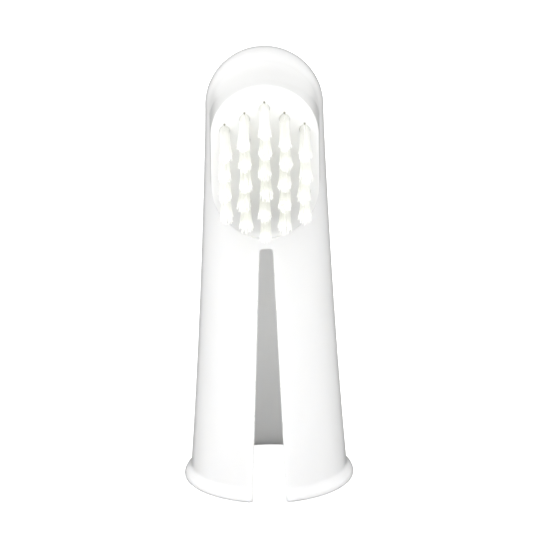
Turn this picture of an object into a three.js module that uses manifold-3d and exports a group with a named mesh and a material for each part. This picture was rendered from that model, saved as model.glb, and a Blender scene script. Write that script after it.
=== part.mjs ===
// Pet finger toothbrush.
//
// A tapered, one-piece finger sleeve, closed by a dome at its tip and open at a flared rim at its base.
// A slot that widens towards the rim runs up the front, so that the skirt can spring open over a finger.
// Above it stands a flat, obround pad with 24 blind holes in five staggered columns. Each hole holds
// one bristle tuft, folded double round a metal anchor plate that bites into the plastic above and
// below the hole.
//
// Millimetres. +Z runs from the open rim to the closed tip; the front, where the bristles point, is -Y.
// The origin is on the plane the rim stands on, midway between the bristle tips and the back of the
// rim in Y, and on the sleeve's centreline in X.

import * as THREE from "three";
import { mergeVertices } from "three/addons/utils/BufferGeometryUtils.js";
import Module from "manifold-3d";

const wasm = await Module();
wasm.setup();

// ---------------------------------------------------------------- driving dimensions
// "In front" distances are measured from the sleeve's axis towards -Y.
const RIM_OUTER_R = 11.2; // largest radius of the flared rim
const RIM_HEIGHT = 1.9; // the rim's bead ends here and the plain wall begins
const RIM_SEAT_INNER_R = 10.3; // the flat ring the sleeve stands on
const RIM_SEAT_OUTER_R = 10.95;
const DOME_R = 7.8;
const DOME_Z = 52.2; // height of the dome's centre
const WALL = 1.05; // wall thickness

const PAD_FACE = 7.7; // pad face, in front
const PAD_ROOT = 2.5; // the pad's body reaches back to here, before the cavity is cut
const PAD_R = 7.16; // end radius of the obround pad, and half its width
const PAD_TOP_Z = 57.65;
const PAD_BOTTOM_Z = 36.35;

// Block of solid plastic behind the pad, with a ramp down to the plain inner wall
const BLOCK_BACK = 4.3; // its inner face, in front
const BLOCK_FULL_Z = 38.2; // full depth from here up
const RAMP_START_Z = 35.35; // lower end of the ramp, within the wall's thickness
const RAMP_START = 7.75; // the same point, in front

const SLOT_TOP_Z = 34.9; // closed end of the slot
const SLOT_HALF_BASE = 2.22; // half width at the rim
const SLOT_HALF_TOP = 0.87; // half width at the closed end
const SLOT_END_R = 0.55; // corner radius of the closed end

const HOLE_R = 0.72;
const HOLE_DEPTH = 2.8;
const ROW_PITCH = 2.88; // along a column
const COLUMNS = [
  // letter, x, height of the top hole, holes in the column
  ["a", -5.27, 51.45, 4],
  ["b", -2.63, 53.0, 5],
  ["c", 0, 54.5, 6],
  ["d", 2.63, 53.0, 5],
  ["e", 5.27, 51.45, 4],
];

const TUFT_ROOT_R = 0.64;
const TUFT_TIP_R = 0.9;
const TUFT_LENGTH = 10.3; // free length from the pad face

const ANCHOR_THICK = 0.24; // in X
const ANCHOR_TALL = 1.25; // in Y, along the hole
const ANCHOR_LONG = 2.0; // in Z, longer than the hole is wide, so both ends bite
const ANCHOR_DEPTH = 0.95; // from the pad face in to the plate's outer edge
const GAP = 0.03; // clearance round an anchor plate
const ANCHOR_HALF_SPACE = ANCHOR_THICK / 2 + GAP;
const ANCHOR_SPACE_END = ANCHOR_DEPTH + ANCHOR_TALL + GAP;

const AXIS_Y = (PAD_FACE + TUFT_LENGTH - RIM_OUTER_R) / 2; // the sleeve's axis

// How far cutting solids run past the surfaces they cut
const BASE_OVERRUN = 0.5; // cavity, below the rim
const SLOT_OVERRUN = 1; // slot, below the rim
const MOUTH_OVERRUN = 1; // holes, out of the pad face
const CUT_FRONT = 14; // in front, clear of the sleeve

const SLEEVE_FACETS = 56;
const SMALL_FACETS = 12; // round a hole or a tuft

// ---------------------------------------------------------------- helpers
// A three.js geometry as a manifold solid, turned right side out if its faces point inwards.
function solid(geometry) {
  for (const name of Object.keys(geometry.attributes)) {
    if (name !== "position") geometry.deleteAttribute(name);
  }
  const merged = mergeVertices(geometry, 1e-4);
  const index = merged.index.array;
  const triangles = [];
  for (let i = 0; i < index.length; i += 3) {
    const [first, second, third] = index.subarray(i, i + 3);
    if (first !== second && second !== third && first !== third) {
      triangles.push(first, second, third);
    }
  }
  const build = () =>
    new wasm.Manifold(
      new wasm.Mesh({
        numProp: 3,
        vertProperties: new Float32Array(merged.attributes.position.array),
        triVerts: new Uint32Array(triangles),
      }),
    );
  const made = build();
  if (made.volume() >= 0) return made;
  for (let i = 0; i < triangles.length; i += 3) {
    [triangles[i + 1], triangles[i + 2]] = [triangles[i + 2], triangles[i + 1]];
  }
  return build();
}

function geometryOf(manifold) {
  const mesh = manifold.getMesh(); // three values per vertex: the position alone
  const geometry = new THREE.BufferGeometry();
  const positions = new Float32Array(mesh.vertProperties);
  geometry.setAttribute("position", new THREE.BufferAttribute(positions, 3));
  geometry.setIndex(new THREE.BufferAttribute(new Uint32Array(mesh.triVerts), 1));
  geometry.computeVertexNormals();
  return geometry;
}

// A profile of [radius, y] turned round the Y axis.
function lathe(profile, facets) {
  const points = profile.map(([radius, y]) => new THREE.Vector2(radius, y));
  return new THREE.LatheGeometry(points, facets);
}

// A profile of [radius, height] turned round +Z.
const turnedRoundZ = (profile) => solid(lathe(profile, SLEEVE_FACETS).rotateX(Math.PI / 2));

function extrude(shape, depth, curveSegments) {
  return new THREE.ExtrudeGeometry(shape, { depth, bevelEnabled: false, curveSegments });
}

// A shape in X and Z pulled along Y, from frontY to backY.
function pulledAlongY(shape, frontY, backY, curveSegments) {
  const geometry = extrude(shape, backY - frontY, curveSegments);
  geometry.rotateX(Math.PI / 2); // the shape's Y becomes Z, and the depth runs towards -Y
  geometry.translate(0, backY, 0);
  return solid(geometry);
}

// A box between two opposite corners.
function block([x0, y0, z0], [x1, y1, z1]) {
  const geometry = new THREE.BoxGeometry(x1 - x0, y1 - y0, z1 - z0);
  geometry.translate((x0 + x1) / 2, (y0 + y1) / 2, (z0 + z1) / 2);
  return solid(geometry);
}

// ---------------------------------------------------------------- sleeve body
const WALL_OUTER = [
  // outer radius of the plain wall, height
  [10.28, RIM_HEIGHT],
  [9.97, 6.2],
  [9.62, 11.8],
  [9.28, 17.5],
  [8.95, 23.2],
  [8.65, 28.8],
  [8.4, 34.5],
  [8.18, 40.2],
  [7.98, 45.9],
  [7.86, 49.5],
];
const RIM_BEAD = [
  // distance in from the rim's outer radius, height
  [0.04, 0.17],
  [0, 0.4],
  [0.08, RIM_HEIGHT - 1.05],
  [0.3, RIM_HEIGHT - 0.65],
  [0.6, RIM_HEIGHT - 0.3],
];
const RIM_THROAT = [
  // distance in from the seat's inner radius, height
  [-0.2, -BASE_OVERRUN],
  [0, 0],
  [0.42, 0.6],
  [0.76, 1.35],
];
const INNER_WALL_LIFT = 0.4; // the plain inner wall starts this far above the outer one

// Quarter arc in equal steps, from the dome's base to its pole.
function domeArc(radius, steps) {
  const arc = Array.from({ length: steps }, (_, i) => {
    const angle = (i / steps) * (Math.PI / 2);
    return [radius * Math.cos(angle), DOME_Z + radius * Math.sin(angle)];
  });
  return [...arc, [0, DOME_Z + radius]];
}

function makeOuterBody() {
  return turnedRoundZ([
    [0, 0],
    [RIM_SEAT_OUTER_R, 0],
    ...RIM_BEAD.map(([inset, height]) => [RIM_OUTER_R - inset, height]),
    ...WALL_OUTER,
    ...domeArc(DOME_R, 9),
  ]);
}

// The finger space, which stops short at the solid block behind the pad.
function makeCavity() {
  // The inner wall follows every second station of the outer one.
  const wallInner = WALL_OUTER.filter((_, i) => i % 2 === 0).map(([radius, height], i) => [
    radius - WALL,
    height + (i === 0 ? INNER_WALL_LIFT : 0),
  ]);
  return turnedRoundZ([
    [0, -BASE_OVERRUN],
    ...RIM_THROAT.map(([inset, height]) => [RIM_SEAT_INNER_R - inset, height]),
    ...wallInner,
    ...domeArc(DOME_R - WALL, 7),
  ]).subtract(makePadBlock());
}

// Oversized at the front, top and sides, as only its overlap with the cavity counts.
function makePadBlock() {
  const front = -12;
  const topZ = 62;
  const halfWidth = 15;
  const side = new THREE.Shape(); // in the sleeve's Y and Z
  side.moveTo(front, RAMP_START_Z - 0.8);
  side.lineTo(-RAMP_START, RAMP_START_Z);
  side.lineTo(-BLOCK_BACK, BLOCK_FULL_Z);
  side.lineTo(-BLOCK_BACK, topZ);
  side.lineTo(front, topZ);
  side.closePath();
  const geometry = extrude(side, 2 * halfWidth, 12);
  geometry.translate(0, 0, -halfWidth);
  // the shape's X becomes Y, its Y becomes Z, and the depth becomes X
  const toSleeveAxes = new THREE.Matrix4().set(
    0, 0, 1, 0,
    1, 0, 0, 0,
    0, 1, 0, 0,
    0, 0, 0, 1,
  );
  return solid(geometry.applyMatrix4(toSleeveAxes));
}

function padOutline() {
  const outline = new THREE.Shape();
  outline.absarc(0, PAD_TOP_Z - PAD_R, PAD_R, 0, Math.PI, false);
  outline.absarc(0, PAD_BOTTOM_Z + PAD_R, PAD_R, Math.PI, 2 * Math.PI, false);
  outline.closePath();
  return outline;
}

function makeSlot() {
  const slotBack = 3; // still in front of the axis, so that only the front wall is cut
  const lean = (SLOT_HALF_BASE - SLOT_HALF_TOP) / SLOT_TOP_Z;
  const halfWidthAt = (z) => SLOT_HALF_BASE - lean * z;
  const cornerX = halfWidthAt(SLOT_TOP_Z) - SLOT_END_R;
  const cornerZ = SLOT_TOP_Z - SLOT_END_R;
  const outline = new THREE.Shape();
  outline.moveTo(halfWidthAt(-SLOT_OVERRUN), -SLOT_OVERRUN);
  outline.lineTo(halfWidthAt(cornerZ), cornerZ);
  outline.absarc(cornerX, cornerZ, SLOT_END_R, 0, Math.PI / 2, false);
  outline.absarc(-cornerX, cornerZ, SLOT_END_R, Math.PI / 2, Math.PI, false);
  outline.lineTo(-halfWidthAt(-SLOT_OVERRUN), -SLOT_OVERRUN);
  outline.closePath();
  return pulledAlongY(outline, -CUT_FRONT, -slotBack, 4);
}

// ---------------------------------------------------------------- tuft holes
const places = COLUMNS.flatMap(([letter, x, topZ, count]) =>
  Array.from({ length: count }, (_, row) => ({
    name: `${letter}${row + 1}`,
    x,
    z: topZ - row * ROW_PITCH,
  })),
);

// A blind hole, with the slit its anchor plate makes as it is driven in.
function makeHole({ x, z }) {
  const bore = new THREE.CylinderGeometry(
    HOLE_R,
    HOLE_R,
    HOLE_DEPTH + MOUTH_OVERRUN,
    SMALL_FACETS,
  );
  bore.translate(x, -PAD_FACE + (HOLE_DEPTH - MOUTH_OVERRUN) / 2, z);
  const halfLong = ANCHOR_LONG / 2 + GAP;
  const slit = block(
    [x - ANCHOR_HALF_SPACE, -PAD_FACE - MOUTH_OVERRUN, z - halfLong],
    [x + ANCHOR_HALF_SPACE, -PAD_FACE + ANCHOR_SPACE_END, z + halfLong],
  );
  return solid(bore).add(slit);
}

function makeSleeve() {
  let sleeve = makeOuterBody()
    .add(pulledAlongY(padOutline(), -PAD_FACE, -PAD_ROOT, 12))
    // flatten what the round wall pushes out past the pad face
    .subtract(pulledAlongY(padOutline(), -CUT_FRONT, -PAD_FACE, 12))
    .subtract(makeCavity())
    .subtract(makeSlot());
  for (const place of places) sleeve = sleeve.subtract(makeHole(place));
  return geometryOf(sleeve);
}

// ---------------------------------------------------------------- tuft
// Its origin is at the mouth of its hole, and it points along -Y.
function makeTuft() {
  const rootY = HOLE_DEPTH - 0.05; // just clear of the hole's floor
  const profile = [
    // radius, y
    [0, rootY],
    [0.4, rootY],
    [TUFT_ROOT_R - 0.03, HOLE_DEPTH - 0.4],
    [TUFT_ROOT_R, 0],
    [TUFT_ROOT_R + 0.02, -TUFT_LENGTH * 0.4],
    [TUFT_TIP_R - 0.06, -TUFT_LENGTH * 0.8],
    [TUFT_TIP_R, -TUFT_LENGTH + 0.45],
    [TUFT_TIP_R * 0.72, -TUFT_LENGTH + 0.1],
    [0, -TUFT_LENGTH],
  ];
  // the filaments pass either side of the plate and round its inner edge
  const windowHalf = 2; // in Z, wider than the tuft
  const plateWindow = block(
    [-ANCHOR_HALF_SPACE, ANCHOR_DEPTH - GAP, -windowHalf],
    [ANCHOR_HALF_SPACE, ANCHOR_SPACE_END, windowHalf],
  );
  return geometryOf(solid(lathe(profile, SMALL_FACETS)).subtract(plateWindow));
}

// ---------------------------------------------------------------- materials
const sleevePlastic = new THREE.MeshStandardMaterial({
  color: 0xf2f2f0,
  roughness: 0.35,
  metalness: 0,
});
const nylon = new THREE.MeshStandardMaterial({
  color: 0xf6f6ee,
  roughness: 0.45,
  metalness: 0,
});
const nickelSilver = new THREE.MeshStandardMaterial({
  color: 0xb9b4a8,
  roughness: 0.3,
  metalness: 1,
});

// ---------------------------------------------------------------- assembly
function addMesh(parent, name, geometry, material, x, y, z) {
  const mesh = new THREE.Mesh(geometry, material);
  mesh.name = name;
  mesh.position.set(x, y, z);
  parent.add(mesh);
}

const brush = new THREE.Group();
const onAxis = new THREE.Group();
onAxis.position.set(0, AXIS_Y, 0);
brush.add(onAxis);
addMesh(onAxis, "finger_sleeve", makeSleeve(), sleevePlastic, 0, 0, 0);

const padFace = new THREE.Group();
padFace.position.set(0, -PAD_FACE, 0);
onAxis.add(padFace);

const tuft = makeTuft();
const anchor = new THREE.BoxGeometry(ANCHOR_THICK, ANCHOR_TALL, ANCHOR_LONG);
const anchorY = ANCHOR_DEPTH + ANCHOR_TALL / 2;
for (const { name, x, z } of places) {
  addMesh(padFace, `bristle_tuft_${name}`, tuft, nylon, x, 0, z);
  addMesh(padFace, `anchor_plate_${name}`, anchor, nickelSilver, x, anchorY, z);
}

export default brush;
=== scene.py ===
# Pet finger toothbrush: a white moulded sleeve with tufts of nylon bristle.
# The sleeve stands on its open rim at z = 0 with its dome at the top. Its axis is parallel to Z, and the
# pad that carries the tufts faces the front, -Y. Shapes are worked out in millimetres, meshes are in metres.
import math

import bmesh
import bpy
import numpy as np
from mathutils import Matrix, Vector


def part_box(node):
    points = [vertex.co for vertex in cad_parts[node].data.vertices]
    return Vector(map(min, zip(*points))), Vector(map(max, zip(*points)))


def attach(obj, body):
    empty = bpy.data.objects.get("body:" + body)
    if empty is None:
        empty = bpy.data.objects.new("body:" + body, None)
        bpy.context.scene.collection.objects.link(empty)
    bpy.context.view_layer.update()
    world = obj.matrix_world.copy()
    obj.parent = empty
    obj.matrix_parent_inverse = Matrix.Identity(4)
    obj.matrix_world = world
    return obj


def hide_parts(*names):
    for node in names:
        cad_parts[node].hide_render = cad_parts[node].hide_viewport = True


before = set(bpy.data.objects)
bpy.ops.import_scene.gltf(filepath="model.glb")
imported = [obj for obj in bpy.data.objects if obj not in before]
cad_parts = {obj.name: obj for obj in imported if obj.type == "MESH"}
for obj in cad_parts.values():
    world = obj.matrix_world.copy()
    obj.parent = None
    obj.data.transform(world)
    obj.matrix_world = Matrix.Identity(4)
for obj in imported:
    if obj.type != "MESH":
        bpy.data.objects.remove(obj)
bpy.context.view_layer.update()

MM = 0.001


# ------------------------------------------------------------------ places taken from the frame, mm
def box_mm(name):
    return (np.array(corner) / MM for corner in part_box(name))


def read_tufts():
    """Middle, tip and anchor plate of every tuft, by the tuft's short name."""
    prefix = "bristle_tuft_"
    found = {}
    for name in sorted(n[len(prefix):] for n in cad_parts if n.startswith(prefix)):
        lo, hi = box_mm(prefix + name)
        found[name] = {
            "x": (lo[0] + hi[0]) / 2,
            "z": (lo[2] + hi[2]) / 2,
            "tip_y": lo[1],
            "plate": tuple(box_mm("anchor_plate_" + name)),
        }
    return found


sleeve_lo, sleeve_hi = box_mm("finger_sleeve")
RIM_R = (sleeve_hi[0] - sleeve_lo[0]) / 2
AXIS_Y = sleeve_hi[1] - RIM_R
tufts = read_tufts()

# ------------------------------------------------------------------ sizes of the sleeve, mm
# Lengths called FRONT are measured forward from the sleeve's axis.
DOME_R = 7.8
DOME_Z = sleeve_hi[2] - DOME_R  # the dome's centre
WALL = 1.05
# growth of the outer radius with depth below the dome: linear, square and cubic terms
TAPER_1, TAPER_2, TAPER_3 = 3.3705e-2, 2.7088e-4, 2.0155e-6
TAPER_EASE = 2  # how gently the taper sets in

BEAD_R = 1.1  # rolled bead round the rim
BEAD_Z = 0.15
BEAD_FILLET = 0.55
RIM_ROUND = 0.15
FLARE, FLARE_TOP = 0.85, 2.7  # the cavity widens by this much below this height

PAD_FRONT = 7.7  # the pad's face
PAD_Y = AXIS_Y - PAD_FRONT
PAD_R = 7.16  # the obround's end radius
PAD_HI = 57.65 - PAD_R  # centres of the obround's ends
PAD_LO = 36.35 + PAD_R
SHELF_RISE, SHELF_DEPTH = 0.29, 4.5  # slope of the pad's top edge, and how far back it runs
# values that grow with height: value at the bottom, growth, and the heights it grows between
PAD_FILLET = 0.22, 0.75, 53, 58
PAD_EDGE_ROUND = 0.14, 0.16, 38, 43
FACE_SPREAD = 0.0, 0.6, 39.5, 42

BLOCK_FRONT = 4.3  # back of the thick block behind the pad
RAMP_FRONT, RAMP_UP = 0.637, 0.771  # direction the block's slanted underside is measured along
RAMP_Z = 38.2  # where the underside meets the block's back
BLOCK_ROUND = 0.8
CAVITY_ROUND = 0.35
INNER_EDGE_ROUND = 0.3

SLOT_TOP = 34.9
SLOT_HALF_TOP, SLOT_HALF_BASE = 0.87, 2.22
SLOT_CORNER = 0.55
SLOT_EDGE_ROUND, SLOT_MOUTH_ROUND, SLOT_MOUTH_TOP = 0.17, 0.4, 1.6  # extra rounding at the mouth

HOLE_R = 0.72
HOLE_DEPTH = 2.8
HOLE_SIDES = 40
SLIT_GAP = 0.02
CUT_OVERRUN = 1  # how far the cutters stand out of the pad

CELL = 0.2  # grid on which the sleeve is sampled
GRID_MARGIN = 3 * CELL
SLAB = 16  # layers of the grid worked out at a time


# ------------------------------------------------------------------ sleeve as a distance field
# Coordinates are x to the right, front forward from the axis, and z up. Values are negative in the plastic.
def union_round(a, b, radius):
    return np.maximum(radius, np.minimum(a, b)) - np.hypot(
        np.maximum(radius - a, 0), np.maximum(radius - b, 0)
    )


def inter_round(a, b, radius):
    return np.minimum(-radius, np.maximum(a, b)) + np.hypot(
        np.maximum(radius + a, 0), np.maximum(radius + b, 0)
    )


def smooth(start, end, value):
    t = np.clip((value - start) / (end - start), 0, 1)
    return t * t * (3 - 2 * t)


def growing(z, base, growth, start, end):
    return base + growth * smooth(start, end, z)


def wall_radius(z):
    """Outer radius of the wall at a height, and its slope."""
    drop = DOME_Z - np.minimum(z, DOME_Z)
    root = np.sqrt(drop * drop + TAPER_EASE**2)
    s = root - TAPER_EASE
    radius = DOME_R + TAPER_1 * s + TAPER_2 * s * s + TAPER_3 * s * s * s
    slope = -(TAPER_1 + 2 * TAPER_2 * s + 3 * TAPER_3 * s * s) * drop / root
    return radius, slope


def pad_outline(x, front, z):
    """Distance outside the obround outline, whose top edge runs back to the dome as a rising shelf."""
    shelf = SHELF_RISE * np.clip(PAD_FRONT - front, 0, SHELF_DEPTH)
    beyond_ends = np.maximum(z - PAD_HI - shelf, 0) + np.maximum(PAD_LO - z, 0)
    return np.hypot(x, beyond_ends) - PAD_R


def slot_field(x, front, z):
    """The tapering slot up the front."""
    half = SLOT_HALF_BASE - (SLOT_HALF_BASE - SLOT_HALF_TOP) / SLOT_TOP * z
    return np.maximum(inter_round(np.abs(x) - half, z - SLOT_TOP, SLOT_CORNER), -front)


def sleeve_field(x, front, z):
    radial = np.hypot(x, front)
    wall, slope = wall_radius(z)
    lean = 1 / np.sqrt(1 + slope * slope)
    in_dome = z > DOME_Z
    dome = np.hypot(radial, z - DOME_Z)

    # wall and dome, with the bead round the rim
    outer = np.where(in_dome, dome - DOME_R, (radial - wall) * lean)
    bead = np.hypot(radial - (RIM_R - BEAD_R), z - BEAD_Z) - BEAD_R
    outer = union_round(outer, bead, BEAD_FILLET)

    # pad on the front, with a flat face
    pad = pad_outline(x, front, z)
    body = union_round(outer, np.maximum(pad, -front), growing(z, *PAD_FILLET))
    face = np.minimum(growing(z, *FACE_SPREAD) - pad, front - PAD_FRONT)
    body = inter_round(body, face, growing(z, *PAD_EDGE_ROUND))

    # finger cavity, less the block behind the pad
    flare = FLARE * np.maximum(1 - z / FLARE_TOP, 0) ** 2
    inner = np.where(in_dome, dome - (DOME_R - WALL), (radial - (wall - WALL + flare)) * lean)
    ramp = RAMP_FRONT * (front - BLOCK_FRONT) + RAMP_UP * (z - RAMP_Z)
    block = inter_round(BLOCK_FRONT - front, -ramp, BLOCK_ROUND)
    cavity = inter_round(inner, -block, CAVITY_ROUND)
    body = inter_round(body, -cavity, INNER_EDGE_ROUND)

    slot_round = SLOT_EDGE_ROUND + SLOT_MOUTH_ROUND * (1 - smooth(0, SLOT_MOUTH_TOP, z))
    body = inter_round(body, -slot_field(x, front, z), slot_round)
    # the plane the rim stands on
    return inter_round(body, -z, RIM_ROUND)


def gradient(points, step):
    slope = np.empty_like(points)
    for axis in range(3):
        offset = np.zeros(3)
        offset[axis] = step
        slope[:, axis] = sleeve_field(*(points + offset).T) - sleeve_field(*(points - offset).T)
    return slope / (2 * step)


# ------------------------------------------------------------------ meshes from arrays
def surface_nets(values, axes):
    """Quads round the zero level of a sampled field, with one vertex in each cell the surface crosses."""
    inside = values < 0
    count = np.zeros(tuple(n - 1 for n in values.shape), np.int8)
    corners = [(i, j, k) for i in (0, 1) for j in (0, 1) for k in (0, 1)]
    nx, ny, nz = count.shape
    for i, j, k in corners:
        count += inside[i : nx + i, j : ny + j, k : nz + k]
    cells = np.argwhere((count > 0) & (count < 8))
    index = np.full(count.shape, -1, np.int64)
    index[tuple(cells.T)] = np.arange(len(cells))

    # each vertex is the mean of the crossings on its cell's edges
    total = np.zeros((len(cells), 3))
    hits = np.zeros(len(cells))
    for near in corners:
        for axis in range(3):
            if near[axis]:
                continue
            far = list(near)
            far[axis] = 1
            near_at, far_at = cells + near, cells + far
            near_value, far_value = values[tuple(near_at.T)], values[tuple(far_at.T)]
            crossed = (near_value < 0) != (far_value < 0)
            part = np.where(
                crossed, near_value / np.where(crossed, near_value - far_value, 1), 0
            )
            for d in range(3):
                start, end = axes[d][near_at[:, d]], axes[d][far_at[:, d]]
                total[:, d] += np.where(crossed, start + part * (end - start), 0)
            hits += crossed
    verts = total / hits[:, None]

    # each crossed grid edge gives a quad between the four cells round it
    quads = []
    for axis in range(3):
        u, v = [d for d in range(3) if d != axis]
        low = [slice(1, -1)] * 3
        low[axis] = slice(0, -1)
        high = list(low)
        high[axis] = slice(1, None)
        at = np.argwhere(inside[tuple(low)] != inside[tuple(high)])
        shift = np.ones(3, int)
        shift[axis] = 0
        at += shift
        leaving = inside[tuple(at.T)]
        step_u, step_v = np.zeros(3, int), np.zeros(3, int)
        step_u[u], step_v[v] = 1, 1
        around = (step_u + step_v, step_v, np.zeros(3, int), step_u)
        quad = np.stack([index[tuple((at - offset).T)] for offset in around], 1)
        keep = leaving if axis != 1 else ~leaving
        quad[~keep] = quad[~keep][:, ::-1]
        quads.append(quad)
    return verts, np.concatenate(quads)


def settle(verts, rounds=4, longest=0.12):
    """Moves vertices down the field's slope onto its zero level."""
    for _ in range(rounds):
        slope = gradient(verts, step=0.01)
        distance = sleeve_field(*verts.T)
        move = slope * (distance / np.maximum((slope * slope).sum(1), 0.05))[:, None]
        length = np.linalg.norm(move, axis=1)
        move *= np.minimum(1, longest / np.maximum(length, 1e-9))[:, None]
        verts = verts - move
    return verts


def new_mesh(name, verts, faces):
    """Smooth mesh from an n by 3 array in metres and a list of arrays, each of faces of one size."""
    mesh = bpy.data.meshes.new(name)
    loops = np.concatenate([f.reshape(-1) for f in faces]).astype(np.int32)
    sizes = np.concatenate([np.full(len(f), f.shape[1]) for f in faces])
    starts = np.concatenate([[0], np.cumsum(sizes)[:-1]]).astype(np.int32)
    mesh.vertices.add(len(verts))
    mesh.vertices.foreach_set("co", np.asarray(verts, np.float32).reshape(-1))
    mesh.loops.add(len(loops))
    mesh.loops.foreach_set("vertex_index", loops)
    mesh.polygons.add(len(sizes))
    mesh.polygons.foreach_set("loop_start", starts)
    mesh.update(calc_edges=True)
    mesh.validate()
    mesh.polygons.foreach_set("use_smooth", np.ones(len(mesh.polygons), bool))
    return mesh


def new_object(name, data):
    obj = bpy.data.objects.new(name, data)
    bpy.context.scene.collection.objects.link(obj)
    return obj


def store(mesh, name, values):
    attribute = mesh.attributes.new(name, "FLOAT", "POINT")
    attribute.data.foreach_set("value", values.astype(np.float32))


def to_frame(points):
    """Field millimetres (x, front, z) to the frame's metres."""
    return np.stack([points[:, 0], AXIS_Y - points[:, 1], points[:, 2]], 1) * MM


def to_field(points):
    return np.stack([points[:, 0] / MM, AXIS_Y - points[:, 1] / MM, points[:, 2] / MM], 1)


# ------------------------------------------------------------------ sleeve
def grid_axis(low, high, nudge):
    """Grid positions, nudged so that no flat surface lies right on them."""
    return np.arange(low - GRID_MARGIN, high + GRID_MARGIN, CELL) + nudge


def build_sleeve():
    xs = grid_axis(-RIM_R, RIM_R, 0.003)
    fronts = grid_axis(-RIM_R, RIM_R, 0.005)
    zs = grid_axis(0, sleeve_hi[2], 0.007)
    field = np.empty((len(xs), len(fronts), len(zs)), np.float32)
    for i in range(0, len(xs), SLAB):
        field[i : i + SLAB] = sleeve_field(
            *np.meshgrid(xs[i : i + SLAB], fronts, zs, indexing="ij")
        )
    verts, quads = surface_nets(field.astype(float), (xs, fronts, zs))
    placed = to_frame(settle(verts))
    # a negative volume means that the faces look inward
    corners = [placed[quads[:, i]] for i in range(4)]
    normals = np.cross(corners[2] - corners[0], corners[3] - corners[1])
    if (normals * sum(corners)).sum() < 0:
        quads = quads[:, ::-1]
    name = "finger_sleeve_moulding"
    return new_object(name, new_mesh(name, placed, [quads]))


def prism(outline, y0, y1):
    """A closed prism from y0 to y1 over an outline of (x, z), counter-clockwise seen from -Y."""
    n = len(outline)
    verts = [(x, y, z) for y in (y0, y1) for x, z in outline]
    faces = [tuple(range(n)), tuple(range(2 * n - 1, n - 1, -1))]
    faces += [(i, i + n, (i + 1) % n + n, (i + 1) % n) for i in range(n)]
    return verts, faces


def cutter(name, prisms):
    all_verts, all_faces = [], []
    for verts, faces in prisms:
        all_faces += [tuple(i + len(all_verts) for i in face) for face in faces]
        all_verts += verts
    mesh = bpy.data.meshes.new(name)
    mesh.from_pydata([tuple(c * MM for c in v) for v in all_verts], [], all_faces)
    bm = bmesh.new()
    bm.from_mesh(mesh)
    bmesh.ops.recalc_face_normals(bm, faces=bm.faces)
    bm.to_mesh(mesh)
    bm.free()
    return new_object(name, mesh)


def cut(obj, tool):
    before = len(obj.data.polygons)
    # the second solver guards against the first losing the mesh or leaving it uncut
    for solver in ("MANIFOLD", "EXACT"):
        modifier = obj.modifiers.new("cut", "BOOLEAN")
        modifier.operation = "DIFFERENCE"
        modifier.solver = solver
        modifier.object = tool
        graph = bpy.context.evaluated_depsgraph_get()
        mesh = bpy.data.meshes.new_from_object(obj.evaluated_get(graph))
        obj.modifiers.remove(modifier)
        if len(mesh.polygons) > before * 0.8 and len(mesh.polygons) != before:
            obj.data = mesh
            break
    bpy.data.objects.remove(tool)


def tuft_hole(tuft):
    """Blind round hole for a tuft."""
    angles = (2 * math.pi * i / HOLE_SIDES for i in range(HOLE_SIDES))
    ring = [
        (tuft["x"] + HOLE_R * math.cos(a), tuft["z"] + HOLE_R * math.sin(a)) for a in angles
    ]
    return prism(ring, PAD_Y - CUT_OVERRUN, PAD_Y + HOLE_DEPTH)


def plate_slit(tuft):
    """Slit that the anchor plate bites into the plastic above and below its tuft."""
    lo, hi = tuft["plate"]
    left, right = lo[0] - SLIT_GAP, hi[0] + SLIT_GAP
    bottom, top = lo[2] - SLIT_GAP, hi[2] + SLIT_GAP
    outline = [(left, bottom), (right, bottom), (right, top), (left, top)]
    return prism(outline, PAD_Y - CUT_OVERRUN, hi[1] + SLIT_GAP)


def mesh_points(mesh):
    coords = np.empty(len(mesh.vertices) * 3, np.float32)
    mesh.vertices.foreach_get("co", coords)
    return to_field(coords.reshape(-1, 3).astype(float))


def shade_by_field(mesh):
    """Shades moulded faces by the field's own slope, and leaves the walls of holes and slits as they are."""
    slope = gradient(mesh_points(mesh), step=0.02)
    slope[:, 1] *= -1
    slope /= np.maximum(np.linalg.norm(slope, axis=1), 1e-9)[:, None]
    loop_vert = np.empty(len(mesh.loops), np.int32)
    mesh.loops.foreach_get("vertex_index", loop_vert)
    size = np.empty(len(mesh.polygons), np.int32)
    mesh.polygons.foreach_get("loop_total", size)
    flat = np.empty(len(mesh.polygons) * 3, np.float32)
    mesh.polygons.foreach_get("normal", flat)
    face = np.repeat(flat.reshape(-1, 3), size, axis=0)
    own = slope[loop_vert]
    agree = (own * face).sum(1) > 0.72  # cosine of the angle between slope and face
    normals = np.where(agree[:, None], own, face)
    mesh.polygons.foreach_set("use_smooth", np.ones(len(mesh.polygons), bool))
    mesh.normals_split_custom_set(normals.tolist())


RUB_STEP = 0.12
RUB_BULGE = 1.2, 3.6  # bulge at which rubbing starts, and at which it is full
# painted shade on the shelf behind the pad's top edge: strength, then the start and end of each fade, mm
LEDGE_PAINTED_SHADE = 0.9
LEDGE_INSET = -0.12  # nothing further inside the pad's outline than this
LEDGE_OUT = 0.15, 0.9  # out beyond the outline
LEDGE_FACE = 7.45, 7.65  # out towards the pad's face
LEDGE_HEIGHT = 51, 54  # in, going up
LEDGE_FRONT = 0.0, 3.0  # in, going forward from the axis
# painted shade on the pad's face between the lower tufts, darker towards the bottom
ROOT_PAINTED_SHADE = 0.85
ROOT_TOP = 38.5, 43.5  # out, going up
ROOT_SIDE = 4.9, 6.1  # out to the sides
ROOT_FACE = 7.6, 7.68  # in, at the face
ROOT_BOTTOM = 36.6, 37.4  # in, going up


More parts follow.
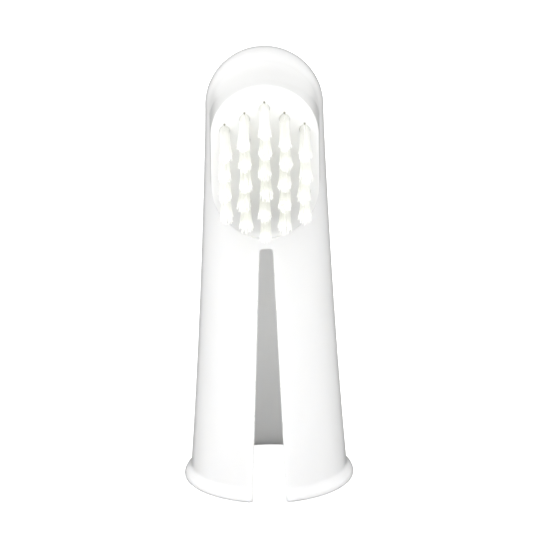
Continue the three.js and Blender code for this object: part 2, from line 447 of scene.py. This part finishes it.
def mark_rubbed_edges_and_painted_shade(mesh):
    points = mesh_points(mesh)
    # how sharply each place bulges, from the field's Laplacian: the rubbed edges
    bulge = -6 * sleeve_field(*points.T)
    for axis in range(3):
        for step in (-RUB_STEP, RUB_STEP):
            offset = np.zeros(3)
            offset[axis] = step
            bulge += sleeve_field(*(points + offset).T)
    store(mesh, "rubbed", smooth(*RUB_BULGE, bulge / (RUB_STEP * RUB_STEP)))

    # painted shade: the base colour is made greyer on the shelf above the pad and between the lower tufts, for
    # shade that the lights do not give
    x, front, z = points.T
    beyond = pad_outline(x, front, z)
    ledge_shade = (1 - smooth(*LEDGE_OUT, beyond)) * (1 - smooth(*LEDGE_FACE, front))
    ledge_shade *= smooth(*LEDGE_HEIGHT, z) * smooth(*LEDGE_FRONT, front)
    root_shade = (1 - smooth(*ROOT_TOP, z)) * (1 - smooth(*ROOT_SIDE, np.abs(x)))
    root_shade *= smooth(*ROOT_FACE, front) * smooth(*ROOT_BOTTOM, z)
    painted_grey_shade = np.where(beyond > LEDGE_INSET, ledge_shade, 0) * LEDGE_PAINTED_SHADE + root_shade * ROOT_PAINTED_SHADE
    store(mesh, "nook", painted_grey_shade)


sleeve = build_sleeve()
cut(sleeve, cutter("holes", [tuft_hole(tuft) for tuft in tufts.values()]))
cut(sleeve, cutter("slits", [plate_slit(tuft) for tuft in tufts.values()]))
shade_by_field(sleeve.data)
mark_rubbed_edges_and_painted_shade(sleeve.data)
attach(sleeve, "root")
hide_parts("finger_sleeve")

# ------------------------------------------------------------------ bristle tufts, mm
# Every filament goes down one side of the anchor plate, under it and up the other side, so it has two free ends.
FILAMENT_R = 0.068
SIDES = 6
# filaments side by side in each layer out from the plate, and the layer's half width
LAYERS = ((9, 0.60), (9, 0.55), (8, 0.44), (5, 0.23))
LAYER_PITCH = 1.98  # in filament radii
FOLD_PITCH = 1.2  # the same, under the plate
PLATE_GAP = 0.012
FOLD_GAP = 0.02
MOUTH_GAP = 0.07  # half gap between the two sides at the mouth of the hole
MOUTH_SPREAD_X, MOUTH_SPREAD_Z = 1.28, 1.03
WAIST = 0.03  # narrowing half way up
SPLAY, SPLAY_LOWEST = 0.36, 0.12  # widening at the tips; the lowest tuft keeps closest together
LEAN = 0.012  # spread of the whole tuft's lean, per length
CUT_SPREAD, TRIM_SPREAD = 0.10, 0.02  # spread of the filaments' lengths, and of the tuft's
CURL, BOW = 0.07, 0.25  # spread of the filaments' curl, and its share half way up
WANDER = 0.07  # drift of the tips
HOLE_STOP = 0.75  # depth of the control point inside the hole
FREE_STOPS = (1.0, 0.78, 0.52, 0.26, 0.0)  # control points from tip to mouth, as parts of the length
TIP_STEPS = [0, 0.012, 0.035]  # closely spaced rings at a tip
TIP_RADII = (0.62, 0.9)  # radii of a tip's first rings, as parts of the filament's
FOLD_SHARE = 0.72
FIRST_SEED = 4200


def tubes(paths, radii):
    """Closed tubes round n paths of m points each: vertices, faces and the number of vertices in a tube."""
    n, m, _ = paths.shape
    tangent = np.gradient(paths, axis=1)
    tangent /= np.linalg.norm(tangent, axis=2)[:, :, None]
    side = np.empty_like(paths)
    carried = np.tile([0.0, 0.0, 1.0], (n, 1))
    for i in range(m):
        carried = carried - (carried * tangent[:, i]).sum(1)[:, None] * tangent[:, i]
        carried /= np.linalg.norm(carried, axis=1)[:, None]
        side[:, i] = carried
    other = np.cross(tangent, side)
    angle = np.arange(SIDES) * 2 * math.pi / SIDES
    ring = (
        side[:, :, None] * np.cos(angle)[None, None, :, None]
        + other[:, :, None] * np.sin(angle)[None, None, :, None]
    )
    shell = (paths[:, :, None] + ring * radii[:, :, None, None]).reshape(n, m * SIDES, 3)
    bulge = 0.35  # height of the domed ends, in radii
    ends = np.stack(
        [
            paths[:, 0] - tangent[:, 0] * radii[:, 0:1] * bulge,
            paths[:, -1] + tangent[:, -1] * radii[:, -1:] * bulge,
        ],
        1,
    )
    verts = np.concatenate([shell, ends], 1)
    per_tube = m * SIDES + 2
    i, j = np.meshgrid(np.arange(m - 1), np.arange(SIDES), indexing="ij")
    k = (j + 1) % SIDES
    quads = np.stack(
        [i * SIDES + j, i * SIDES + k, (i + 1) * SIDES + k, (i + 1) * SIDES + j], -1
    ).reshape(-1, 4)
    j = np.arange(SIDES)
    k = (j + 1) % SIDES
    head = np.stack([k, j, np.full(SIDES, m * SIDES)], 1)
    last = (m - 1) * SIDES
    tail = np.stack([last + j, last + k, np.full(SIDES, m * SIDES + 1)], 1)
    triangles = np.concatenate([head, tail])
    offset = (np.arange(n) * per_tube)[:, None, None]
    faces = [(quads[None] + offset).reshape(-1, 4), (triangles[None] + offset).reshape(-1, 3)]
    return verts.reshape(-1, 3), faces, per_tube


def catmull(points, steps):
    """Smooth curves through n rows of control points, sampled at steps counted in spans."""
    before = 2 * points[:, :1] - points[:, 1:2]
    after = 2 * points[:, -1:] - points[:, -2:-1]
    padded = np.concatenate([before, points, after], 1)
    i = np.minimum(steps.astype(int), points.shape[1] - 2)
    t = (steps - i)[None, :, None]
    p0, p1, p2, p3 = (padded[:, i + d] for d in range(4))
    return 0.5 * (
        2 * p1
        + (p2 - p0) * t
        + (2 * p0 - 5 * p1 + 4 * p2 - p3) * t**2
        + (3 * p1 - p0 - 3 * p2 + p3) * t**3
    )


def filament_rows(half_plate):
    """Distance from the plate's middle, place along the plate, and layer of every filament."""
    rows = []
    for layer, (across, reach) in enumerate(LAYERS):
        out = half_plate + PLATE_GAP + FILAMENT_R + layer * FILAMENT_R * LAYER_PITCH
        rows += [(out, along, layer) for along in np.linspace(-reach, reach, across)]
    return np.array(rows).T


def free_end(sign, out, along, lengths, length, splay, lean, rng):
    """Control points from the tips to the mouth of the hole, on the side of the plate given by sign."""
    mouth_x = sign * (MOUTH_GAP + (out - out.min()) * MOUTH_SPREAD_X)
    mouth_z = along * MOUTH_SPREAD_Z
    jitter = rng.normal(0, 1, (len(out), 2)).clip(-2, 2)
    curl = rng.normal(0, CURL, (len(out), 2))
    points = []
    for f in FREE_STOPS:
        grow = 1 - WAIST * math.sin(math.pi * f) + splay * f**3
        wander = WANDER * f**2
        bow = np.sin(math.pi * f) * BOW
        x, z = (
            mouth * grow + jitter[:, i] * wander + curl[:, i] * bow + lean[i] * f * length
            for i, mouth in enumerate((mouth_x, mouth_z))
        )
        points.append(np.stack([x, -f * lengths, z], 1))
    return points


def tuft_mesh(name, tuft, rng):
    lo, hi = tuft["plate"]
    under = hi[1] - PAD_Y  # depth of the plate's inner edge
    length = PAD_Y - tuft["tip_y"]
    out, along, layer = filament_rows((hi[0] - lo[0]) / 2)
    n = len(out)

    splay = SPLAY_LOWEST if name.endswith("c6") else SPLAY
    lean = rng.normal(0, LEAN, 2)
    lengths = length - np.abs(rng.normal(0, CUT_SPREAD, (n, 2))) + rng.normal(0, TRIM_SPREAD)
    lengths += length - lengths.max()  # the longest filament reaches the tuft's tip

    right, left = (
        free_end(sign, out, along, lengths[:, i], length, splay, lean, rng)
        for i, sign in enumerate((1, -1))
    )
    deep = under + FOLD_GAP + FILAMENT_R + layer * FILAMENT_R * FOLD_PITCH
    shoulder = under + (deep - under) * FOLD_SHARE
    # x and depth under the pad's face: down the right of the plate, under it and up its left
    buried = [
        (out, np.full(n, HOLE_STOP)),
        (out, np.full(n, under - 0.1)),
        (out * FOLD_SHARE, shoulder),
        (np.zeros(n), deep),
        (-out * FOLD_SHARE, shoulder),
        (-out, np.full(n, under - 0.1)),
        (-out, np.full(n, HOLE_STOP)),
    ]
    middle = [np.stack([x, depth, along], 1) for x, depth in buried]
    control = np.stack(right + middle + left[::-1], 1)

    spans = control.shape[1] - 1
    free_spans = len(FREE_STOPS) - 1
    free = np.linspace(0, free_spans, 9)
    end_steps = np.concatenate([TIP_STEPS, free[1:]])
    middle_steps = np.arange(free_spans + 1, spans - free_spans)
    steps = np.concatenate([end_steps, middle_steps, spans - end_steps[::-1]])
    paths = catmull(control, steps)
    radii = np.full(paths.shape[:2], FILAMENT_R)
    for i, part in enumerate(TIP_RADII):
        radii[:, i] = radii[:, -1 - i] = FILAMENT_R * part

    verts, faces, per_tube = tubes(paths, radii)
    place = np.array([tuft["x"], PAD_Y, tuft["z"]])
    mesh = new_mesh(name, (verts + place) * MM, faces)
    store(mesh, "tone", np.repeat(rng.uniform(0, 1, n), per_tube))
    store(mesh, "along", (-verts[:, 1] / length).clip(-0.3, 1))
    return mesh


tuft_objects = []
for i, (short_name, tuft) in enumerate(tufts.items()):
    name = "tuft_filaments_" + short_name
    obj = new_object(name, tuft_mesh(name, tuft, np.random.default_rng(FIRST_SEED + i)))
    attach(obj, "root")
    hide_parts("bristle_tuft_" + short_name)
    tuft_objects.append(obj)


# ------------------------------------------------------------------ shader nodes
class Graph:
    """Adds nodes to a tree. An input given as a socket is linked, and any other is set as a value."""

    def __init__(self, tree):
        self.nodes, self.links = tree.nodes, tree.links

    def add(self, kind, inputs=None, **settings):
        made = self.nodes.new("ShaderNode" + kind)
        for key, value in settings.items():
            setattr(made, key, value)
        for key, value in (inputs or {}).items():
            if isinstance(value, bpy.types.NodeSocket):
                self.links.new(value, made.inputs[key])
            else:
                made.inputs[key].default_value = value
        return made

    # The methods below return the new node's output.
    def shader(self, kind, **inputs):
        named = {key.replace("_", " "): value for key, value in inputs.items()}
        return self.add(kind, named).outputs[0]

    def attribute(self, name):
        return self.add("Attribute", attribute_name=name).outputs["Fac"]

    def stretched(self, vector, scale):
        return self.add("Mapping", {0: vector, "Scale": scale}).outputs[0]

    def noise(self, vector, scale, detail, roughness=0.5):
        inputs = {"Vector": vector, "Scale": scale, "Detail": detail, "Roughness": roughness}
        return self.add("TexNoise", inputs).outputs["Fac"]

    def math(self, operation, *values):
        return self.add("Math", dict(enumerate(values)), operation=operation).outputs[0]

    def map_range(self, value, start=0.0, end=1.0, low=0.0, high=1.0, kind="LINEAR"):
        inputs = {
            "Value": value,
            "From Min": start,
            "From Max": end,
            "To Min": low,
            "To Max": high,
        }
        return self.add("MapRange", inputs, interpolation_type=kind).outputs[0]

    def fade(self, value, **ends):
        return self.map_range(value, kind="SMOOTHSTEP", **ends)

    def ramp(self, factor, *stops):
        made = self.add("ValToRGB", {0: factor})
        for element, (position, colour) in zip(made.color_ramp.elements, stops):
            element.position = position
            element.color = colour
        return made.outputs[0]

    def mix_colour(self, factor, a, b):
        inputs = {"Factor": factor, "A": a, "B": b}
        return self.add("Mix", inputs, data_type="RGBA").outputs["Result"]

    def mix_shader(self, factor, first, second):
        return self.add("MixShader", {0: factor, 1: first, 2: second}).outputs[0]

    def bump(self, height, strength, distance, normal=None):
        inputs = {"Height": height, "Strength": strength, "Distance": distance}
        if normal:
            inputs["Normal"] = normal
        return self.add("Bump", inputs).outputs[0]

    def surface(self, shader):
        self.add("OutputMaterial", {"Surface": shader})


def new_material(name):
    """A material with an empty graph, and the output for object coordinates."""
    material = bpy.data.materials.new(name)
    material.use_nodes = True
    material.node_tree.nodes.clear()
    graph = Graph(material.node_tree)
    return material, graph, graph.add("TexCoord").outputs["Object"]


# ------------------------------------------------------------------ materials
def moulded_plastic():
    material, graph, place = new_material("white_moulded_plastic")
    # slow, faint unevenness of the white, as the melt leaves it
    flow = graph.noise(graph.stretched(place, (1, 1, 0.35)), scale=120.0, detail=3.0)
    tint = graph.ramp(
        flow, (0.3, (0.925, 0.928, 0.922, 1)), (0.7, (0.955, 0.955, 0.948, 1))
    )
    # edges rubbed in patches, a little brighter and duller
    patch = graph.noise(place, scale=700.0, detail=3.0)
    uneven = graph.map_range(patch, start=0.35, end=0.65)
    worn = graph.math("MULTIPLY", graph.attribute("rubbed"), uneven)
    white = graph.mix_colour(
        factor=graph.math("MULTIPLY", worn, 0.35), a=tint, b=(0.965, 0.965, 0.960, 1)
    )
    # greyer in the inside corners: this stands in for shading that these lights do not give
    base = graph.mix_colour(
        factor=graph.attribute("nook"), a=white, b=(0.74, 0.74, 0.735, 1)
    )
    # gloss of a polished mould, with light scuffing
    scuff = graph.noise(place, scale=900.0, detail=4.0, roughness=0.6)
    gloss = graph.map_range(scuff, low=0.29, high=0.40)
    rough = graph.math("ADD", gloss, graph.math("MULTIPLY", worn, 0.12))
    # faint drag marks along the draw, then fine grain, then a slow waviness of the skin
    drag_place = graph.stretched(place, (1, 1, 0.03))
    drag = graph.noise(drag_place, scale=2600.0, detail=2.0)
    grain = graph.noise(place, scale=5200.0, detail=2.0)
    skin = graph.noise(place, scale=420.0, detail=1.0)
    normal = graph.bump(drag, strength=0.05, distance=0.00004)
    normal = graph.bump(grain, strength=0.05, distance=0.00002, normal=normal)
    normal = graph.bump(skin, strength=0.10, distance=0.00006, normal=normal)
    plastic = graph.shader(
        "BsdfPrincipled",
        Base_Color=base,
        Roughness=rough,
        Normal=normal,
        IOR=1.49,
        Coat_Weight=0.5,
        Coat_Roughness=0.12,
        Coat_IOR=1.5,
        Coat_Normal=normal,
        Subsurface_Weight=1.0,
        Subsurface_Radius=(1.0, 0.98, 0.94),
        Subsurface_Scale=0.00035,
    )
    # the thin wall also passes some light from one side to the other
    through = graph.shader("BsdfTranslucent", Color=white)
    wall = graph.mix_shader(0.22, plastic, through)
    # painted shade where the wall is seen very nearly edge-on, for the dark outline that these lights do not
    # give
    facing = graph.add("LayerWeight", {"Blend": 0.5}).outputs["Facing"]
    outline = graph.fade(facing, start=0.70, end=0.86, low=0.0, high=0.26)
    shade = graph.shader("BsdfDiffuse", Color=(0.30, 0.30, 0.30, 1))
    lined = graph.mix_shader(outline, wall, shade)
    # from within the plastic, light simply leaves
    leaving = graph.shader("BsdfTranslucent", Color=(0.99, 0.99, 0.985, 1))
    within = graph.add("NewGeometry").outputs["Backfacing"]
    graph.surface(graph.mix_shader(within, lined, leaving))
    return material


def nylon():
    material, graph, place = new_material("white_nylon_filament")
    shade = graph.ramp(
        graph.attribute("tone"),
        (0.0, (0.935, 0.938, 0.915, 1)),
        (1.0, (0.975, 0.975, 0.958, 1)),
    )
    # ground ends are frosted
    end = graph.ramp(graph.attribute("along"), (0.90, (0, 0, 0, 1)), (0.99, (1, 1, 1, 1)))
    colour = graph.mix_colour(factor=end, a=shade, b=(0.975, 0.975, 0.965, 1))
    # streaks along the filaments
    streak = graph.noise(graph.stretched(place, (1, 0.06, 1)), scale=9000.0, detail=2.0)
    filament = graph.shader(
        "BsdfPrincipled",
        Base_Color=colour,
        Roughness=graph.map_range(streak, low=0.38, high=0.55),
        Normal=graph.bump(streak, strength=0.10, distance=0.000012),
        IOR=1.53,
    )
    # thin clear nylon passes much of its light straight through
    through = graph.shader("BsdfTranslucent", Color=colour)
    both = graph.mix_shader(0.30, filament, through)
    # a bundle of clear filaments lets much of the light past it
    ray = graph.add("LightPath").outputs
    shadow = graph.math("MULTIPLY", ray["Is Shadow Ray"], 0.86)
    bounced = graph.math("MULTIPLY", ray["Is Diffuse Ray"], 0.60)
    past = graph.math("MAXIMUM", shadow, bounced)
    graph.surface(graph.mix_shader(past, both, graph.shader("BsdfTransparent")))
    return material


def plate_metal():
    material, graph, place = new_material("rolled_nickel_silver")
    lines = graph.noise(graph.stretched(place, (1, 0.08, 1)), scale=14000.0, detail=3.0)
    colour = graph.ramp(lines, (0.0, (0.52, 0.50, 0.45, 1)), (1.0, (0.74, 0.72, 0.66, 1)))
    metal = graph.shader(
        "BsdfPrincipled",
        Base_Color=colour,
        Roughness=graph.map_range(lines, low=0.24, high=0.42),
        Normal=graph.bump(lines, strength=0.15, distance=0.00001),
        Metallic=1.0,
    )
    graph.surface(metal)
    return material


sleeve.data.materials.clear()
sleeve.data.materials.append(moulded_plastic())
bristle = nylon()
for obj in tuft_objects:
    obj.data.materials.append(bristle)
metal = plate_metal()
for name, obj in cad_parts.items():
    if name.startswith("anchor_plate_"):
        if not obj.data.materials:
            obj.data.materials.append(metal)
        for slot in obj.material_slots:
            slot.material = metal

# ------------------------------------------------------------------ floor
FLOOR_HALF = 3
FLOOR_DROP = 0.00002
FLOOR_SEEN = 0.80  # glow that the camera sees
# glow that the object gets back: in front, behind, close in front of the rim, and inside the sleeve
FLOOR_FRONT, FLOOR_BEHIND, FLOOR_NEAR, FLOOR_INSIDE = 0.62, 0.17, 0.45, 0.13
FRONT_FADE = {"start": 0.004, "end": -0.004}  # y from the axis, going forward


def floor_material():
    material, graph, place = new_material("studio_floor")
    seen = graph.shader(
        "BsdfPrincipled",
        Base_Color=(0.62, 0.62, 0.62, 1),
        Roughness=0.9,
        Specular_IOR_Level=0.0,
        Emission_Color=(1, 1, 1, 1),
        Emission_Strength=FLOOR_SEEN,
    )
    axis = (0, AXIS_Y * MM, 0)
    from_axis = graph.add("VectorMath", {0: place, 1: axis}, operation="SUBTRACT").outputs[0]
    away = graph.add("VectorMath", {0: from_axis}, operation="LENGTH").outputs["Value"]
    y = graph.add("SeparateXYZ", {0: from_axis}).outputs["Y"]
    # less comes back from behind the object than from in front, and none from its own footprint
    clear_of = graph.fade(away, start=0.0105, end=0.020)
    front = graph.fade(y, low=FLOOR_BEHIND, high=FLOOR_FRONT, **FRONT_FADE)
    wide = graph.math("MULTIPLY", clear_of, front)
    # the floor close in front of the rim lights the rim's underside
    close = graph.fade(away, start=0.0100, end=0.0130)
    ring = graph.math("SUBTRACT", close, clear_of)
    ahead = graph.fade(y, low=0.0, high=FLOOR_NEAR, **FRONT_FADE)
    near = graph.math("MULTIPLY", ring, ahead)
    # and a little comes up from the floor inside the sleeve
    within = graph.fade(away, start=0.0084, end=0.0098, low=FLOOR_INSIDE, high=0.0)
    strength = graph.math("ADD", wide, graph.math("ADD", near, within))
    bounce = graph.shader("Emission", Strength=strength)
    camera_ray = graph.add("LightPath").outputs["Is Camera Ray"]
    graph.surface(graph.mix_shader(camera_ray, bounce, seen))
    return material


floor_mesh = bpy.data.meshes.new("studio_floor")
floor_corners = [(FLOOR_HALF * i, FLOOR_HALF * j, 0) for i, j in ((-1, -1), (1, -1), (1, 1), (-1, 1))]
floor_mesh.from_pydata(floor_corners, [], [(0, 1, 2, 3)])
floor = new_object("studio_floor", floor_mesh)
floor.location.z = -FLOOR_DROP
floor_mesh.materials.append(floor_material())

# ------------------------------------------------------------------ light
# A tent of soft light: an even glow, and broad soft lobes.
EVEN_LIGHT = 0.58
BACKDROP = 1.1
SOFT_LIGHTS = (
    # direction, how tight, how strong
    ((0, -0.935, 0.355), 2, 0.44),
    ((0, -0.935, 0.355), 8, 2.27),
    ((0, 0, 1), 8, 0.25),
    ((-1, 0, 0.1), 4, 1.82),
    ((1, 0, 0.1), 4, 1.58),
    ((-0.7, -0.7, 0.3), 8, 0.56),
)


def light_world():
    world = bpy.data.worlds.new("studio")
    bpy.context.scene.world = world
    world.use_nodes = True
    graph = Graph(world.node_tree)
    where = graph.add("TexCoord").outputs["Generated"]
    total = EVEN_LIGHT
    for direction, tight, strength in SOFT_LIGHTS:
        inputs = {0: where, 1: Vector(direction).normalized()}
        dot = graph.add("VectorMath", inputs, operation="DOT_PRODUCT").outputs["Value"]
        lobe = graph.math("POWER", graph.math("MAXIMUM", dot, 0.0), tight)
        total = graph.math("MULTIPLY_ADD", lobe, strength, total)
    # the camera itself sees a plain pale backdrop
    camera_ray = graph.add("LightPath").outputs["Is Camera Ray"]
    inputs = {"Factor": camera_ray, "A": total, "B": BACKDROP}
    shown = graph.add("Mix", inputs, data_type="FLOAT").outputs["Result"]
    background = graph.nodes["Background"]
    background.inputs["Color"].default_value = (1, 1, 1, 1)
    graph.links.new(shown, background.inputs["Strength"])


light_world()

# ------------------------------------------------------------------ camera
ELEVATION = math.radians(20.8)
ROLL = math.radians(0.75)
DISTANCE = 2.2
LENS, SENSOR = 1086.48, 36.0  # mm
TARGET = Vector((1.12 * MM, AXIS_Y * MM, 28.14 * MM))


def place_camera():
    camera = bpy.data.cameras.new("camera")
    camera.sensor_width = SENSOR
    camera.lens = LENS
    camera.clip_start, camera.clip_end = 0.05, 10
    obj = new_object("camera", camera)
    out = Vector((0, -math.cos(ELEVATION), math.sin(ELEVATION)))
    right = Vector((1, 0, 0))
    basis = Matrix((right, out.cross(right), out)).transposed().to_4x4()
    roll = Matrix.Rotation(-ROLL, 4, "Z")
    obj.matrix_world = Matrix.Translation(TARGET + out * DISTANCE) @ basis @ roll
    bpy.context.scene.camera = obj


place_camera()

# a white object in a white set passes light many times
cycles = bpy.context.scene.cycles
cycles.max_bounces = 16
cycles.diffuse_bounces = 10
cycles.transmission_bounces = 10
cycles.transparent_max_bounces = 96

view = bpy.context.scene.view_settings
view.view_transform = "Standard"
view.look = "None"
view.exposure = 0.0
view.gamma = 1.0
